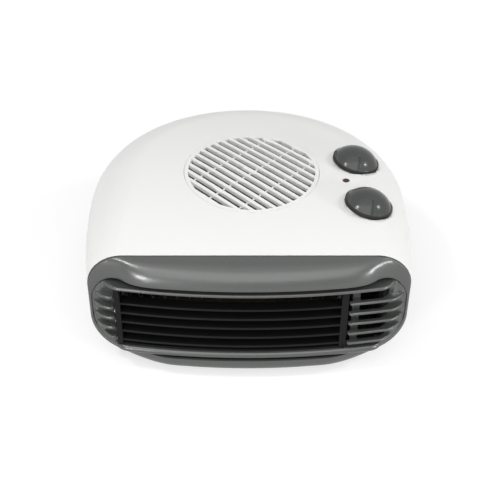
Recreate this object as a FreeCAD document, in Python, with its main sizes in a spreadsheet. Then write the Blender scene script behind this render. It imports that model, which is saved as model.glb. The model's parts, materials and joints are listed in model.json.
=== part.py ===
import FreeCAD, Part
import math
import os
from types import SimpleNamespace

import Sketcher

# Flat fan heater: white hood, dark tub, grey front bezel with bowed vanes, two knobs.
# X is right, Y is back, Z is up. The origin is on the floor, under the middle of the housing.

SIZES = (
    ("body_radius", "127.5", "half the width of the housing, and the radius of its round back"),
    ("side_run", "100", "from the bezel's seam back to the centre of the round"),
    ("front_draw", "9", "each side drawn in from the round's width to the bezel's seam"),
    ("height", "110.4", "floor to the crest of the roof"),
    ("crest_back", "22.2", "crest of the roof behind the centre of the round"),
    ("crown_radius", "905", "front-to-back arc of the roof"),
    ("shoulder_front", "27", "edge round of the hood at the bezel"),
    ("shoulder_back", "42", "edge round of the hood at the back"),
    ("wall", "2.5", "hood wall"),
    ("split_height", "70", "floor to the seam between hood and tub"),
    ("rim_inset", "1.5", "step from the hood's side in to the tub's side"),
    ("tub_wall", "3", "tub wall and floor"),
    ("base_height", "8", "floor to the underside of the tub"),
    ("belly_back", "34", "lower edge round of the tub at the back"),
    ("fit_gap", "0.3", "clearance between fixed pieces"),
    ("running_gap", "0.05", "radial clearance of a shaft or screw in its hole"),
    ("bezel_bulge", "22.5", "bezel's front ahead of its seam, in the middle"),
    ("bow_radius", "540", "bow of the vanes and slats, seen from above"),
    ("brow_end", "6.5", "straight ends of the brow"),
    ("brow_run", "38", "length over which the brow falls back to its ends"),
    ("band_run", "54", "length over which the bottom band falls back to its ends"),
    ("bezel_low_round", "40", "lower corners of the bezel"),
    ("low_arch", "6", "lift of the bezel's underside towards its sides"),
    ("bezel_wall", "2.2", "bezel wall"),
    ("web_thick", "1.6", "web between the bezel's wall and its collar"),
    ("flange_depth", "6", "bezel's rear collar inside the housing"),
    ("lip_inset", "2.3", "mouth of the bezel in from its sides"),
    ("brow_drop", "15.6", "lower edge of the brow below the seam's top"),
    ("band_height", "12.5", "bottom band, from the bezel's lowest edge to its mouth"),
    ("lip_top_round", "24", "upper corners of the mouth"),
    ("lip_low_round", "31", "lower corners of the mouth"),
    ("vane_thick", "2.4", "thickness of the grey side vanes"),
    ("vane_depth", "11", "front-to-back depth of the grey vanes"),
    ("vane_setback", "0.6", "front edges of the vanes behind the bow"),
    ("vane_heel", "4.4", "inner radius where a vane's end rounds back"),
    ("vane_corner", "4", "rounded free corners of the side vanes"),
    ("top_vane_thick", "2.8", "thickness of the full-width top vane"),
    ("top_vane_drop", "5.5", "middle of the top vane below the brow's edge"),
    ("vane_drop", "11.8", "highest right-hand vane below the top vane"),
    ("vane_rest", "5.3", "lowest right-hand vane above the sill"),
    ("left_lift", "2.4", "left-hand vanes above the right-hand ones"),
    ("slat_drop", "15.1", "highest slat below the top vane"),
    ("slat_rest", "5.2", "lowest slat above the sill"),
    ("row_count", "5", "side vanes and slats, top to bottom"),
    ("sill_gap", "1", "slot between the bottom band and the sill"),
    ("sill_height", "5.5", "height of the sill"),
    ("sill_depth", "8", "front-to-back depth of the sill"),
    ("left_field", "20", "width of the side vanes' field at the left"),
    ("right_field", "46.5", "width of the side vanes' field at the right"),
    ("post_shift", "3", "upright behind the right-hand vanes, from their free ends"),
    ("post_width", "5.5", "width of that upright"),
    ("post_setback", "7", "that upright and the backing behind the vanes' edges"),
    ("vane_bar", "3.5", "front bars of the right-hand vanes, ahead of their slots"),
    ("slot_end", "14.5", "outer ends of those slots from the bezel's side"),
    ("slot_slant", "7", "slanted length at those ends"),
    ("slot_step", "5", "depth of that slant"),
    ("insert_setback", "3", "black insert behind the bow"),
    ("insert_depth", "9", "depth of the black insert"),
    ("slat_thick", "1.9", "thickness of the black slats"),
    ("left_bar", "4", "left end bar of the insert"),
    ("right_bar", "5", "right end bar of the insert"),
    ("rail", "1.6", "top and bottom rails of the insert"),
    ("fan_x", "2.5", "fan axis right of the middle"),
    ("fan_forward", "1", "fan axis ahead of the centre of the round"),
    ("inlet_radius", "50.25", "clear radius of the inlet grille"),
    ("grille_rim", "3", "rim round the louvres"),
    ("grille_flange", "3.2", "flange of the grille under the roof"),
    ("flange_thick", "2", "thickness of that flange"),
    ("louvre_pitch", "7.1", "spacing of the louvres"),
    ("louvre_thick", "2.5", "thickness of a louvre"),
    ("louvre_depth", "4.6", "depth of a louvre"),
    ("louvre_turn", "-45", "louvres' direction, turned from X"),
    ("rib_thick", "1.2", "ribs that cross under the louvres"),
    ("rib_depth", "2", "depth of those ribs"),
    ("rib_pitch", "25", "spacing of those ribs"),
    ("selector_side", "37.3", "selector knob in from the right side"),
    ("selector_forward", "43.9", "selector knob ahead of the centre of the round"),
    ("selector_lean", "12", "selector axis leaning to the right"),
    ("thermostat_side", "41.9", "thermostat knob in from the right side"),
    ("thermostat_back", "12.7", "thermostat knob behind the centre of the round"),
    ("thermostat_lean", "11", "thermostat axis leaning to the right"),
    ("seat_sink", "2", "knob seat below the roof's height there"),
    ("seat_thick", "4.5", "plate under a knob seat"),
    ("seat_margin", "0.8", "knob pocket wider than the knob"),
    ("knob_radius", "18.6", "knob skirt"),
    ("knob_lift", "0.6", "knob above its seat"),
    ("skirt_height", "3", "height of the knob's skirt"),
    ("skirt_chamfer", "0.6", "chamfer on the skirt"),
    ("dome_radius", "17.7", "foot of the knob's dome"),
    ("dome_rise", "9.2", "height of the knob's dome"),
    ("grip_half", "15.8", "half the width of the dome between its side flats"),
    ("hollow_radius", "14.4", "hollow under the knob"),
    ("hollow_depth", "4.4", "depth of that hollow"),
    ("pointer_width", "1.8", "pointer groove"),
    ("pointer_depth", "0.8", "depth of the pointer groove"),
    ("pointer_start", "7", "pointer groove from the knob's axis"),
    ("spindle_radius", "3", "control spindles"),
    ("spindle_flat", "1.8", "flat of a spindle from its axis"),
    ("spindle_grip", "5.5", "spindle length inside the knob"),
    ("bush_radius", "4.8", "threaded bush of a control"),
    ("bush_height", "3", "bush above the seat"),
    ("nut_flats", "12", "control nut across its flats"),
    ("nut_thick", "2.2", "thickness of a control nut"),
    ("switch_width", "27", "selector switch body"),
    ("switch_height", "15", "height of the selector switch body"),
    ("tab_length", "8", "switch terminals"),
    ("tab_width", "6.3", "width of a terminal"),
    ("tab_thick", "0.8", "thickness of a terminal"),
    ("tab_spread", "7", "terminals from the switch's axis, each way"),
    ("switch_floor", "1.2", "floor of the switch under its spindle"),
    ("stack_width", "10", "thermostat's ceramic stack"),
    ("stack_height", "16", "height of the ceramic stack"),
    ("stat_length", "34", "thermostat's steel frame"),
    ("stat_width", "14", "width of the thermostat's frame"),
    ("stat_plate", "1.2", "thickness of the thermostat's frame"),
    ("blade_reach", "23", "thermostat blade from its stack"),
    ("blade_width", "7", "width of the thermostat blade"),
    ("blade_thick", "0.5", "thickness of the thermostat blade"),
    ("blade_drop", "9", "thermostat blade under its frame"),
    ("contact_drop", "4", "fixed contact under the blade"),
    ("lens_side", "51.6", "indicator lens in from the right side"),
    ("lens_forward", "14.7", "indicator lens ahead of the centre of the round"),
    ("lens_radius", "2.8", "indicator lens"),
    ("lens_proud", "0.6", "lens above the roof"),
    ("lens_collar", "1", "collar of the lens under the roof"),
    ("lamp_radius", "2.6", "indicator lamp"),
    ("lamp_length", "12", "length of the indicator lamp"),
    ("boss_radius", "4.5", "screw bosses of the hood"),
    ("post_radius", "5", "screw posts of the tub"),
    ("screw_radius", "1.75", "housing screws"),
    ("screw_head", "3.4", "head radius of a housing screw"),
    ("head_height", "2.4", "head height of a screw"),
    ("screw_reach", "14", "housing screw inside its boss"),
    ("post_cap", "12", "tub post above the screw head"),
    ("front_screw_side", "12.5", "front screws in from the bezel's side"),
    ("front_screw_back", "30", "front screws behind the bezel's seam"),
    ("back_screw_edge", "21.4", "back screws in from the round back"),
    ("back_screw_turn", "47.3", "back screws round from the sides, in degrees"),
    ("foot_radius", "8", "feet"),
    ("foot_taper", "1", "foot narrower at the floor"),
    ("stem_radius", "2.5", "stem of a foot"),
    ("front_foot_side", "56.5", "front feet in from the bezel's side"),
    ("front_foot_back", "20", "front feet behind the bezel's seam"),
    ("back_foot_edge", "46.6", "back feet in from the round back"),
    ("back_foot_turn", "50", "back feet round from the sides, in degrees"),
    ("gland_radius", "5.8", "cord gland's barrel"),
    ("gland_bore", "3.6", "cord gland's bore radius"),
    ("gland_flange", "8", "cord gland's flange radius"),
    ("gland_plate", "1.2", "thickness of the gland's flange"),
    ("gland_height", "54", "floor to the gland's axis"),
    ("motor_post", "4", "motor posts above the tub floor"),
    ("motor_bolt", "24", "motor screws from the axis"),
    ("bracket_thick", "2", "motor bracket"),
    ("bracket_width", "16", "width of a motor bracket"),
    ("bracket_step", "4", "bracket clear of the stator"),
    ("bracket_foot", "6", "radius of a bracket's foot"),
    ("stator_height", "16", "stator stack"),
    ("stator_half", "30", "half the width of the stator"),
    ("stator_front", "22", "stator ahead of the axis"),
    ("stator_back", "46", "stator behind the axis"),
    ("slot_half", "18", "half the width of the coil slot"),
    ("slot_front", "18", "coil slot from the axis"),
    ("yoke", "14", "stator leg that carries the coil"),
    ("rotor_radius", "12.5", "motor rotor"),
    ("air_gap", "0.4", "gap between rotor and stator"),
    ("coil_wrap", "9", "coil thickness round the yoke"),
    ("shaft_radius", "2", "motor shaft"),
    ("bearing_radius", "5", "sintered bearings"),
    ("bearing_height", "6", "height of a bearing"),
    ("motor_screw_radius", "1.7", "motor screws"),
    ("motor_screw_bite", "3.4", "motor screw inside its post"),
    ("wheel_radius", "52", "impeller"),
    ("wheel_lift", "5", "impeller plate above the motor screws"),
    ("wheel_height", "40", "height of the impeller"),
    ("wheel_plate", "2", "thickness of the impeller plate"),
    ("wheel_blades", "28", "impeller blades"),
    ("wheel_blade_length", "15", "radial length of a blade"),
    ("wheel_blade_thick", "1.6", "thickness of a blade"),
    ("wheel_blade_arc", "20", "bend radius of a blade"),
    ("wheel_blade_sweep", "5", "outer end of a blade ahead of its inner end"),
    ("hub_radius", "7", "impeller hub"),
    ("hub_height", "20", "height of the hub"),
    ("scroll_gap", "8", "scroll clear of the impeller where it is narrowest"),
    ("scroll_growth", "12", "scroll radius gained each quarter turn"),
    ("scroll_wall", "2", "scroll wall"),
    ("scroll_head", "3", "scroll cover above the impeller"),
    ("scroll_tongue", "55", "scroll tongue ahead of X, in degrees"),
    ("scroll_mouth", "8.5", "scroll mouth behind the bezel's seam"),
    ("eye_radius", "44", "scroll inlet"),
    ("duct_right", "68", "right wall of the duct"),
    ("duct_past", "1", "duct's right wall straight on behind the heater"),
    ("heater_depth", "26", "heater frame, front to back"),
    ("heater_inset", "2", "heater frame behind the scroll's mouth"),
    ("mica", "1.2", "mica boards"),
    ("heater_bottom", "16.5", "floor to the heater frame"),
    ("shelf_low", "22", "floor to the lowest mica shelf"),
    ("shelf_pitch", "20", "spacing of the mica shelves"),
    ("ribbon_count", "3", "resistance ribbons, one between two shelves"),
    ("ribbon_width", "9", "resistance ribbons"),
    ("ribbon_thick", "0.7", "thickness of the resistance ribbons"),
    ("ribbon_waves", "17", "waves of a ribbon"),
    ("cutout_radius", "8", "thermal cut-out"),
    ("cutout_height", "6", "height of the thermal cut-out"),
    ("cutout_x", "-40", "thermal cut-out from the middle"),
    ("fuse_radius", "2", "thermal fuse"),
    ("fuse_length", "12", "length of the thermal fuse"),
    ("fuse_x", "20", "thermal fuse from the middle"),
)

V = FreeCAD.Vector
UP = V(0, 0, 1)
RIGHT = V(1, 0, 0)
BACK = V(0, 1, 0)
# Lengths of cutting tools that run right through, far past any piece.
FAR = 400.0
# How far a tool runs past the face that it goes through.
PAST = 1.0

doc = FreeCAD.newDocument("fan_heater")
sheet = doc.addObject("Spreadsheet::Sheet", "Sizes")
for row, (alias, number, note) in enumerate(SIZES, start=1):
    sheet.set(f"A{row}", note)
    sheet.set(f"B{row}", number)
    sheet.setAlias(f"B{row}", alias)
doc.recompute()


class Size:
    """A size: its number, and the sheet formula that gives it."""

    def __init__(self, value, formula):
        self.value = float(value)
        self.formula = formula

    def __add__(self, other):
        other = as_size(other)
        return Size(self.value + other.value, f"({self.formula} + {other.formula})")

    def __sub__(self, other):
        other = as_size(other)
        return Size(self.value - other.value, f"({self.formula} - {other.formula})")

    def __mul__(self, other):
        other = as_size(other)
        return Size(self.value * other.value, f"({self.formula} * {other.formula})")

    def __truediv__(self, other):
        other = as_size(other)
        return Size(self.value / other.value, f"({self.formula} / {other.formula})")

    def __neg__(self):
        return Size(-self.value, f"(0 - {self.formula})")

    __radd__ = __add__

    def __rsub__(self, other):
        return as_size(other) - self

    def __rmul__(self, other):
        return as_size(other) * self


def as_size(number):
    """A bare number, such as 2 or 0, written the way a size is."""
    return number if isinstance(number, Size) else Size(number, repr(float(number)))


def root(square):
    return Size(math.sqrt(square.value), f"sqrt({square.formula})")


def sine(angle):
    return Size(math.sin(math.radians(angle.value)), f"sin({angle.formula})")


def cosine(angle):
    return Size(math.cos(math.radians(angle.value)), f"cos({angle.formula})")


s = SimpleNamespace(**{alias: Size(sheet.get(alias), f"Sizes.{alias}") for alias, number, note in SIZES})

# Places that several pieces share.
front_half = s.body_radius - s.front_draw
depth = s.bezel_bulge + s.side_run + s.body_radius
front_y = -depth / 2
seam_y = front_y + s.bezel_bulge
round_y = seam_y + s.side_run
crest_y = round_y + s.crest_back
roof_axis_z = s.height - s.crown_radius
fan_y = round_y - s.fan_forward
tub_floor = s.base_height + s.tub_wall
belly_front = s.bezel_low_round - s.rim_inset
scroll_left = s.fan_x - s.wheel_radius - s.scroll_gap - 3 * s.scroll_growth


def roof_height(y):
    """Height of the roof's arc above the floor at a place from front to back."""
    return roof_axis_z + root(s.crown_radius * s.crown_radius - (y - crest_y) * (y - crest_y))


seam_top = roof_height(seam_y)

PIECES = []


def keep(item, name):
    """Name a finished sub-part and list it for writing."""
    item.Label = name
    PIECES.append(item)
    return item


def place(item, x, y, z, lean=None):
    """Put an object at sheet-driven coordinates, leaning to the right by an angle."""
    if lean is not None:
        item.Placement = FreeCAD.Placement(V(), FreeCAD.Rotation(BACK, lean.value))
        item.setExpression("Placement.Rotation.Angle", lean.formula)
    for axis, value in zip("xyz", (x, y, z)):
        item.setExpression(f"Placement.Base.{axis}", as_size(value).formula)
    return item


def bind(item, **sizes):
    for name, value in sizes.items():
        item.setExpression(name, as_size(value).formula)
    return item


def cylinder(radius, height, x=0, y=0, z=0):
    item = doc.addObject("Part::Cylinder", "Cylinder")
    bind(item, Radius=radius, Height=height)
    return place(item, x, y, z)


def box(length, width, height, x=0, y=0, z=0):
    """A block whose middle is at x and y and whose underside is at z."""
    item = doc.addObject("Part::Box", "Box")
    bind(item, Length=length, Width=width, Height=height)
    return place(item, as_size(x) - as_size(length) / 2, as_size(y) - as_size(width) / 2, z)


def fuse(*items):
    item = doc.addObject("Part::MultiFuse", "Fuse")
    item.Shapes = list(items)
    return item


def cut(base, *tools):
    item = doc.addObject("Part::Cut", "Cut")
    item.Base = base
    item.Tool = tools[0] if len(tools) == 1 else fuse(*tools)
    return item


def feature(shape):
    item = doc.addObject("Part::Feature", "Form")
    item.Shape = shape
    return item


def body(name):
    item = doc.addObject("PartDesign::Body", name)
    return item


def sketch_on(owner, role, lift=None):
    """A sketch on one of a body's own origin planes, lifted along the plane's normal."""
    plane = next(p for p in owner.Origin.OriginFeatures if p.Role == role)
    item = owner.newObject("Sketcher::SketchObject", "Sketch")
    item.AttachmentSupport = [(plane, "")]
    item.MapMode = "FlatFace"
    if lift is not None:
        item.setExpression("AttachmentOffset.Base.z", lift.formula)
    return item


def hold(sketch, kind, geometry, point, value):
    """Fix one coordinate of a point, on its axis where the size is nothing."""
    if value.value == 0:
        axis = -2 if kind == "DistanceX" else -1
        sketch.addConstraint(Sketcher.Constraint("PointOnObject", geometry, point, axis))
        return
    index = sketch.addConstraint(Sketcher.Constraint(kind, -1, 1, geometry, point, value.value))
    sketch.setExpression(f"Constraints[{index}]", value.formula)


def outline(sketch, corners):
    """A closed outline. A corner with a third entry starts an arc of that radius, which
    passes to the left of the straight way to the next corner, or to the right if the
    fourth entry is -1."""
    corners = [tuple(as_size(v) for v in corner[:3]) + tuple(corner[3:]) for corner in corners]
    count = len(corners)
    first = sketch.GeometryCount
    ends = []
    for index, corner in enumerate(corners):
        following = corners[(index + 1) % count]
        a = V(corner[0].value, corner[1].value, 0)
        b = V(following[0].value, following[1].value, 0)
        if len(corner) < 3:
            sketch.addGeometry(Part.LineSegment(a, b), False)
            ends.append((1, 2))
            continue
        radius = corner[2].value
        side = corner[3] if len(corner) > 3 else 1
        chord = b - a
        rise = radius - math.sqrt(radius * radius - chord.Length * chord.Length / 4)
        left = V(-chord.y, chord.x, 0).normalize()
        geometry = sketch.addGeometry(Part.Arc(a, (a + b) / 2 + left * (rise * side), b), False)
        start = sketch.getPoint(geometry, 1)
        ends.append((1, 2) if start.distanceToPoint(a) < start.distanceToPoint(b) else (2, 1))
    for index in range(count):
        following = (index + 1) % count
        sketch.addConstraint(Sketcher.Constraint(
            "Coincident", first + index, ends[index][1], first + following, ends[following][0]))
    for index, corner in enumerate(corners):
        hold(sketch, "DistanceX", first + index, ends[index][0], corner[0])
        hold(sketch, "DistanceY", first + index, ends[index][0], corner[1])
        if len(corner) > 2:
            number = sketch.addConstraint(Sketcher.Constraint("Radius", first + index, corner[2].value))
            sketch.setExpression(f"Constraints[{number}]", corner[2].formula)


def circle(sketch, radius, x=0, y=0):
    x, y = as_size(x), as_size(y)
    index = sketch.addGeometry(Part.Circle(V(x.value, y.value, 0), UP, radius.value), False)
    number = sketch.addConstraint(Sketcher.Constraint("Radius", index, radius.value))
    sketch.setExpression(f"Constraints[{number}]", radius.formula)
    hold(sketch, "DistanceX", index, 3, x)
    hold(sketch, "DistanceY", index, 3, y)


def pad(owner, sketch, length):
    item = owner.newObject("PartDesign::Pad", "Pad")
    item.Profile = sketch
    bind(item, Length=length)
    return item


def pocket(owner, sketch, length, upward=False):
    item = owner.newObject("PartDesign::Pocket", "Pocket")
    item.Profile = sketch
    item.Reversed = upward
    bind(item, Length=length)
    return item


def turned(name, profile):
    """A body of revolution about Z from a profile of (radius, height) corners."""
    owner = body(name)
    sketch = sketch_on(owner, "XZ_Plane")
    outline(sketch, profile)
    item = owner.newObject("PartDesign::Revolution", "Revolution")
    item.Profile = sketch
    item.ReferenceAxis = (sketch, ["V_Axis"])
    item.Angle = 360
    return owner


# Forms of the housing

def plan_face(inset, z, front):
    """The housing's plan at a height, drawn in from its sides by an inset and open to a front line."""
    half, radius = front_half.value, s.body_radius.value
    run = s.side_run.value
    flare = (run * run + (radius - half) ** 2) / (2 * (radius - half))
    middle_y = round_y.value
    back = radius - inset

    def side(y, sign):
        reach = radius - flare + math.sqrt((flare - inset) ** 2 - (y - middle_y) ** 2)
        return V(sign * reach, y, z)

    between = (front + middle_y) / 2
    slant = math.sqrt(0.5) * back
    edges = [
        Part.LineSegment(side(front, -1), side(front, 1)),
        Part.Arc(side(front, 1), side(between, 1), V(back, middle_y, z)),
        Part.Arc(V(back, middle_y, z), V(slant, middle_y + slant, z), V(0, middle_y + back, z)),
        Part.Arc(V(0, middle_y + back, z), V(-slant, middle_y + slant, z), V(-back, middle_y, z)),
        Part.Arc(V(-back, middle_y, z), side(between, -1), side(front, -1)),
    ]
    return Part.Face(Part.Wire([edge.toShape() for edge in edges]))


def rounded(solid, on_edge, front_radius, back_radius):
    """Round the edges that on_edge picks, with a radius that grows from the front to the back.
    They are one smooth chain, and its radii run the way of its first edge, at the right side."""
    base = feature(solid)
    near_seam = seam_y.value + PAST
    behind = round_y.value + PAST
    back = []
    for index, edge in enumerate(solid.Edges, start=1):
        box_of = edge.BoundBox
        if not on_edge(box_of) or box_of.YMax < near_seam:
            continue
        if box_of.YMax > behind:
            back.append((index, back_radius, back_radius))
        elif box_of.XMin < 0:
            left = index
        else:
            right = index
            from_front = edge.valueAt(edge.FirstParameter).y < near_seam
    first, last = (front_radius, back_radius) if from_front else (back_radius, front_radius)
    item = doc.addObject("Part::Fillet", "Rounded")
    item.Base = base
    item.Edges = [(right, first, last)] + back + [(left, last, first)]
    doc.recompute()
    return item.Shape


def hood_form(inset, front):
    """Solid form of the white hood, drawn in from its outer face by an inset."""
    low = s.base_height.value
    walls = plan_face(inset, low, front).extrude(UP * FAR)
    axis = V(-FAR / 2, crest_y.value, roof_axis_z.value)
    roof = Part.makeCylinder(s.crown_radius.value - inset, FAR, axis, RIGHT)
    solid = walls.common(roof).Solids[0]
    on_roof = s.split_height.value
    return rounded(solid, lambda b: b.ZMin > on_roof,
                   s.shoulder_front.value - inset, s.shoulder_back.value - inset)


def tub_form(inset, front, top):
    """Solid form of the dark tub, drawn in from its outer face by an inset."""
    low = s.base_height.value + inset
    solid = plan_face(s.rim_inset.value + inset, low, front).extrude(UP * (top - low))
    return rounded(solid, lambda b: b.ZMax < low + PAST,
                   belly_front.value - inset, s.belly_back.value - inset)


def upright(radius, low, high, x, y):
    return Part.makeCylinder(radius, high - low, V(x, y, low), UP)


def slab(low, high):
    """Everything between two heights."""
    return Part.makeBox(2 * FAR, 2 * FAR, high - low, V(-FAR, -FAR, low))


def round_place(edge, turn):
    """A place in from the round back by an edge, and round from the right side by an angle."""
    reach = s.body_radius - edge
    return reach * cosine(turn), round_y + reach * sine(turn)


front_screw_x, front_screw_y = front_half - s.front_screw_side, seam_y + s.front_screw_back
back_screw_x, back_screw_y = round_place(s.back_screw_edge, s.back_screw_turn)
front_foot_x, front_foot_y = front_half - s.front_foot_side, seam_y + s.front_foot_back
back_foot_x, back_foot_y = round_place(s.back_foot_edge, s.back_foot_turn)
screw_places = [
    (front_screw_x, front_screw_y),
    (-front_screw_x, front_screw_y),
    (back_screw_x, back_screw_y),
    (-back_screw_x, back_screw_y),
]
foot_places = {
    "foot_front_right": (front_foot_x, front_foot_y),
    "foot_front_left": (-front_foot_x, front_foot_y),
    "foot_back_right": (back_foot_x, back_foot_y),
    "foot_back_left": (-back_foot_x, back_foot_y),
}


class Control:
    """Where a knob and what it turns are: a point on the roof and an axis leaning to the right."""

    def __init__(self, x, y, lean):
        self.x, self.y, self.lean = x, y, lean
        self.z = roof_height(y) - s.seat_sink

    def put(self, item):
        return place(item, self.x, self.y, self.z, self.lean)

    def column(self, radius, low, high):
        """A solid cylinder along the axis, between two heights from the seat."""
        solid = Part.makeCylinder(radius, high - low, V(0, 0, low), UP)
        turn = FreeCAD.Rotation(BACK, self.lean.value)
        solid.Placement = FreeCAD.Placement(V(self.x.value, self.y.value, self.z.value), turn)
        return solid


selector = Control(s.body_radius - s.selector_side, round_y - s.selector_forward, s.selector_lean)
thermostat = Control(s.body_radius - s.thermostat_side, round_y + s.thermostat_back, s.thermostat_lean)
lens_x = s.body_radius - s.lens_side
lens_y = round_y - s.lens_forward
lens_under = roof_height(lens_y) - s.wall


def upper_housing():
    past_front = seam_y.value - s.flange_depth.value
    form = hood_form(0.0, seam_y.value)
    shell = form.cut(hood_form(s.wall.value, past_front))
    split = s.split_height.value
    bore = s.bush_radius.value + s.running_gap.value
    inside = []
    cuts = []
    for control in (selector, thermostat):
        pocket_radius = s.knob_radius.value + s.seat_margin.value
        plate = control.column(pocket_radius + s.wall.value, -s.seat_thick.value, 0)
        inside.append(plate.common(form))
        inside.append(control.column(s.hollow_radius.value + s.wall.value, -s.seat_thick.value, 0))
        cuts.append(control.column(pocket_radius, 0, s.dome_rise.value))
        cuts.append(control.column(bore, -s.seat_thick.value - PAST, PAST))
    for x, y in screw_places:
        boss = upright(s.boss_radius.value, split, s.height.value, x.value, y.value)
        inside.append(boss.common(form))
        pilot = s.screw_radius.value + s.running_gap.value
        cuts.append(upright(pilot, split, split + s.screw_reach.value + s.fit_gap.value, x.value, y.value))
    sleeve_radius = s.lamp_radius.value + s.fit_gap.value + s.lens_collar.value
    sleeve_low = (lens_under - s.lamp_length).value
    x, y = lens_x.value, lens_y.value
    sleeve = upright(sleeve_radius + s.lens_collar.value, sleeve_low, lens_under.value + PAST, x, y)
    inside.append(sleeve.common(form))
    cuts.append(upright(sleeve_radius, sleeve_low, lens_under.value, x, y))
    cuts.append(upright(s.lens_radius.value + s.running_gap.value, sleeve_low, FAR, x, y))
    mouth = (s.inlet_radius + s.grille_rim + s.fit_gap).value
    cuts.append(upright(mouth, split, FAR, s.fan_x.value, fan_y.value))
    shell = shell.fuse(inside).cut(cuts)
    keep(feature(shell.common(slab(split, FAR)).removeSplitter()), "upper_housing")


def inlet_grille():
    """Rim, flange and diagonal louvres, with tops that follow the roof."""
    x, y = s.fan_x.value, fan_y.value
    axis = V(-FAR / 2, crest_y.value, roof_axis_z.value)

    def roof_layer(top, bottom):
        """The layer between two depths under the roof's face."""
        outer = Part.makeCylinder(s.crown_radius.value - top, FAR, axis, RIGHT)
        return outer.cut(Part.makeCylinder(s.crown_radius.value - bottom, FAR, axis, RIGHT))

    low, high = s.split_height.value, s.height.value + PAST
    inner = upright(s.inlet_radius.value, low, high, x, y)
    rim = upright((s.inlet_radius + s.grille_rim).value, low, high, x, y).cut(inner)
    flange_radius = (s.inlet_radius + s.grille_rim + s.grille_flange).value
    under = (s.wall + s.fit_gap).value
    flange = upright(flange_radius, low, high, x, y).cut(inner)
    flange = flange.common(roof_layer(under, under + s.flange_thick.value))
    rim = rim.common(roof_layer(0, under + s.flange_thick.value))
    span = (s.inlet_radius + s.grille_rim).value
    count = math.ceil(span / s.louvre_pitch.value)
    bars = []
    for index in range(-count, count + 1):
        middle = index * s.louvre_pitch.value
        bars.append(Part.makeBox(2 * span, s.louvre_thick.value, high - low,
                                 V(-span, middle - s.louvre_thick.value / 2, low)))
    ribs = []
    for index in (-1, 0, 1):
        middle = index * s.rib_pitch.value
        ribs.append(Part.makeBox(s.rib_thick.value, 2 * span, high - low,
                                 V(middle - s.rib_thick.value / 2, -span, low)))
    wide = upright(s.inlet_radius.value + s.grille_rim.value / 2, low, high, x, y)
    turn = FreeCAD.Placement(V(x, y, 0), FreeCAD.Rotation(UP, s.louvre_turn.value))

    def turned_set(bars_or_ribs, layer):
        group = Part.makeCompound(bars_or_ribs)
        group.Placement = turn
        return wide.common(layer).common(group).Solids

    louvres = turned_set(bars, roof_layer(0, s.louvre_depth.value))
    cross = turned_set(ribs, roof_layer(s.louvre_depth.value - s.rib_depth.value, s.louvre_depth.value))
    shape = rim.fuse([flange] + louvres + cross).removeSplitter()
    keep(feature(shape), "inlet_grille")


def lower_housing():
    past_front = seam_y.value - s.flange_depth.value
    split = s.split_height.value
    form = tub_form(0.0, seam_y.value, split)
    shell = form.cut(tub_form(s.tub_wall.value, past_front, split + PAST))
    low = s.base_height.value
    post_top = split
    added = []
    cuts = []
    for x, y in screw_places:
        added.append(upright(s.post_radius.value, low, post_top, x.value, y.value).common(form))
        cuts.append(upright(s.screw_radius.value + s.fit_gap.value, low, split, x.value, y.value))
        head_hole = s.screw_head.value + s.fit_gap.value
        cuts.append(upright(head_hole, 0, split - s.post_cap.value, x.value, y.value))
    for x, y in foot_places.values():
        stem_hole = s.stem_radius.value + s.running_gap.value
        cuts.append(upright(stem_hole, low - PAST, tub_floor.value + PAST, x.value, y.value))
    for sign in (-1, 1):
        x = s.fan_x.value + sign * s.motor_bolt.value
        top = (tub_floor + s.motor_post).value
        added.append(upright(s.post_radius.value, low, top, x, fan_y.value))
        pilot = s.motor_screw_radius.value + s.running_gap.value
        cuts.append(upright(pilot, top - s.motor_screw_bite.value - s.fit_gap.value, top, x, fan_y.value))
    gland = Part.makeCylinder(s.gland_radius.value + s.running_gap.value, FAR,
                              V(0, round_y.value, s.gland_height.value), BACK)
    cuts.append(gland)
    keep(feature(shell.fuse(added).cut(cuts).removeSplitter()), "lower_housing")


# Bezel, vanes and the black insert

lip_half = front_half - s.lip_inset
lip_top = seam_top - s.brow_drop
bezel_bottom = s.base_height - s.rim_inset
lip_bottom = bezel_bottom + s.band_height
lip_depth = s.bezel_wall + s.fit_gap
bow_y = front_y + s.bow_radius
window_left = front_half - s.left_field
window_right = front_half - s.right_field
top_vane = lip_top - s.top_vane_drop
top_vane_low = top_vane - s.top_vane_thick / 2
sill_low = lip_bottom + s.sill_gap
sill_top = sill_low + s.sill_height
vane_round = s.vane_depth + s.vane_setback + s.vane_heel
# Sections of the bezel between its seam and its mouth, and the points along a section's edges.
SECTION_ANGLES = (0, 30, 60, 78, 90)
EDGE_POINTS = 17
CORNER_POINTS = 7
# How the bezel rolls in to its mouth: 2 is a round, more is squarer.
TOP_POWER = 2
LOW_POWER = 4


def bow_ahead(x):
    """How far ahead of the seam the bow of the vanes and slats is."""
    radius = s.bow_radius.value
    return s.bezel_bulge.value - radius + math.sqrt(radius * radius - x * x)


def lip_ahead(x, low):
    """How far ahead of the seam the bezel's mouth is: the bow, falling back towards both sides.
    Low is 0 at the brow and 1 at the bottom band."""
    run = s.brow_run.value + (s.band_run - s.brow_run).value * low
    start = (front_half - s.brow_end).value - run
    share = min(max((abs(x) - start) / run, 0), 1)
    kept = (1 + math.cos(math.pi * share)) / 2
    return lip_depth.value + (bow_ahead(x) - lip_depth.value) * kept


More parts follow.
